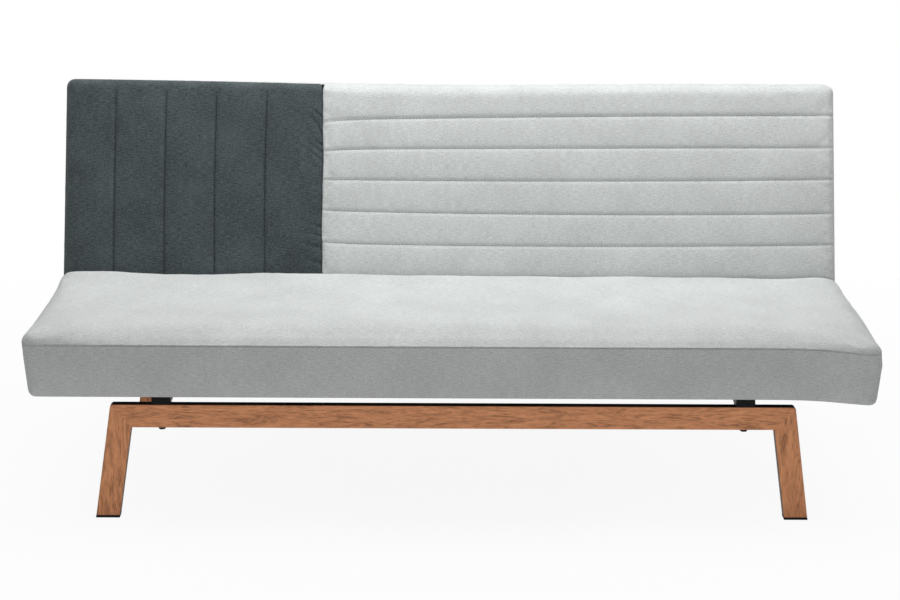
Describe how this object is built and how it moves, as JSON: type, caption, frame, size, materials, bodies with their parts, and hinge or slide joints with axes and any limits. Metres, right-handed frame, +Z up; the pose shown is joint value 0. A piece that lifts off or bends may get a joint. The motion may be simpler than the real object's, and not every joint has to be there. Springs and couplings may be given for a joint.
{
  "type": "sofa bed",
  "caption": "Armless sofa bed with a channel-quilted backrest that folds flat on ratchet hinges, a padded seat and splayed wood-finish tube legs.",
  "frame": {"origin": "on the floor, under the middle of the outline in the sitting position", "axes": "+X along the width, to the right as seen from the front, +Y from the front to the back, +Z up"},
  "size_m": [1.8, 0.816, 0.8383],
  "materials": {
    "wood_finish": "printed wood grain, satin",
    "black_steel": "black powder coat",
    "black_plastic": "matte",
    "zinc_steel": "zinc plated",
    "spring_steel": "oiled",
    "rubber": "matte",
    "timber": "planed, bare",
    "webbing": "woven elastic",
    "dust_cloth": "black cloth",
    "pale_fabric": "woven, pale grey",
    "dark_fabric": "woven, dark slate"
  },
  "bodies": {
    "base": {"bracket_bolts": "zinc_steel", "cross_rail_plugs": "black_plastic", "frame_bolts": "zinc_steel", "front_left_leg": "wood_finish", "front_rail": "wood_finish", "front_right_leg": "wood_finish", "hinge_pins": "zinc_steel", "left_cross_rail": "black_steel", "left_hinge_bracket": "black_steel", "leg_glides": "black_plastic", "pawl_pins": "zinc_steel", "pawl_springs": "spring_steel", "rear_left_leg": "wood_finish", "rear_rail": "wood_finish", "rear_right_leg": "wood_finish", "rest_bumpers": "rubber", "right_cross_rail": "black_steel", "right_hinge_bracket": "black_steel", "seat_bolts": "zinc_steel", "seat_dust_cover": "dust_cloth", "seat_front_band": "pale_fabric", "seat_front_timber": "timber", "seat_left_band": "pale_fabric", "seat_left_brace": "timber", "seat_left_timber": "timber", "seat_pad": "pale_fabric", "seat_rear_band": "pale_fabric", "seat_rear_timber": "timber", "seat_right_band": "pale_fabric", "seat_right_brace": "timber", "seat_right_timber": "timber", "seat_springs": "spring_steel"},
    "backrest": {"arm_screws": "zinc_steel", "backrest_bottom_band": "pale_fabric", "backrest_dark_pad": "dark_fabric", "backrest_left_band": "pale_fabric", "backrest_left_hinge_stile": "timber", "backrest_left_lower_rail": "timber", "backrest_left_stile": "timber", "backrest_light_pad": "pale_fabric", "backrest_middle_lower_rail": "timber", "backrest_rear_panel": "dust_cloth", "backrest_right_band": "pale_fabric", "backrest_right_hinge_stile": "timber", "backrest_right_lower_rail": "timber", "backrest_right_stile": "timber", "backrest_top_band": "pale_fabric", "backrest_top_rail": "timber", "backrest_webbing": "webbing", "left_back_arm": "black_steel", "left_ratchet": "zinc_steel", "right_back_arm": "black_steel", "right_ratchet": "zinc_steel"},
    "left_pawl": {"left_pawl": "zinc_steel"},
    "right_pawl": {"right_pawl": "zinc_steel"}
  },
  "joints": [
    {"name": "backrest_fold", "type": "hinge", "parent": "base", "child": "backrest", "pos_m": [0, 0.20002, 0.346], "axis": [-1, 0, 0], "range_deg": [-14, 72]},
    {"name": "left_pawl_lift", "type": "hinge", "parent": "base", "child": "left_pawl", "pos_m": [-0.6135, 0.17002, 0.3], "axis": [1, 0, 0], "range_deg": [0, 11], "stiffness_Nm_per_rad": 0.6, "springref_deg": 11},
    {"name": "right_pawl_lift", "type": "hinge", "parent": "base", "child": "right_pawl", "pos_m": [0.6135, 0.17002, 0.3], "axis": [1, 0, 0], "range_deg": [0, 11], "stiffness_Nm_per_rad": 0.6, "springref_deg": 11}
  ]
}
